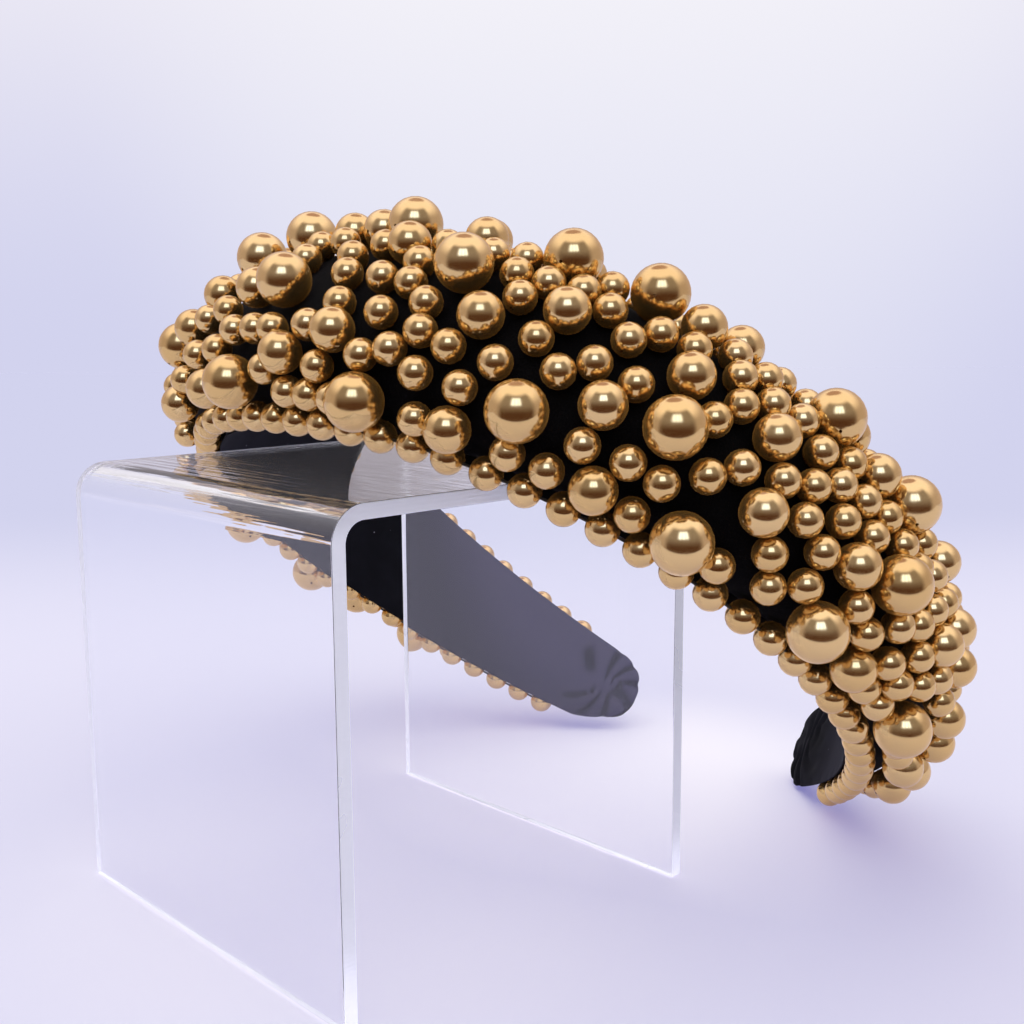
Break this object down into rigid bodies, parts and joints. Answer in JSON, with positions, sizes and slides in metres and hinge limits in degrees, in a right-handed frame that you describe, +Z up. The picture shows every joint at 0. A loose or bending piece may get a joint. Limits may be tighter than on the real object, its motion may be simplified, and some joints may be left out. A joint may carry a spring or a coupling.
{
  "type": "beaded headband on display riser",
  "caption": "Padded black velvet headband sewn all over with glossy gold beads of mixed sizes, with strung edges and a flat dark lining, propped on a clear bent riser.",
  "frame": {"origin": "middle of the footprint, on the surface that the riser's feet and the band's tips stand on", "axes": "+X from the crown of the band to its tips, +Y from the near arm to the far arm, +Z up"},
  "size_m": [0.1622, 0.2018, 0.1399],
  "materials": {
    "clear_acrylic": "clear polished sheet with sawn edges",
    "black_velvet": "short black pile",
    "lining_cloth": "flat charcoal woven lining",
    "gold_bead": "mirror-bright gold plating"
  },
  "bodies": {
    "root": {"display_riser": "clear_acrylic", "velvet_pad": "black_velvet", "lining": "lining_cloth", "front_edge_string": "gold_bead", "back_edge_string": "gold_bead", "near_arm_beads": "gold_bead", "far_arm_beads": "gold_bead"}
  },
  "joints": []
}
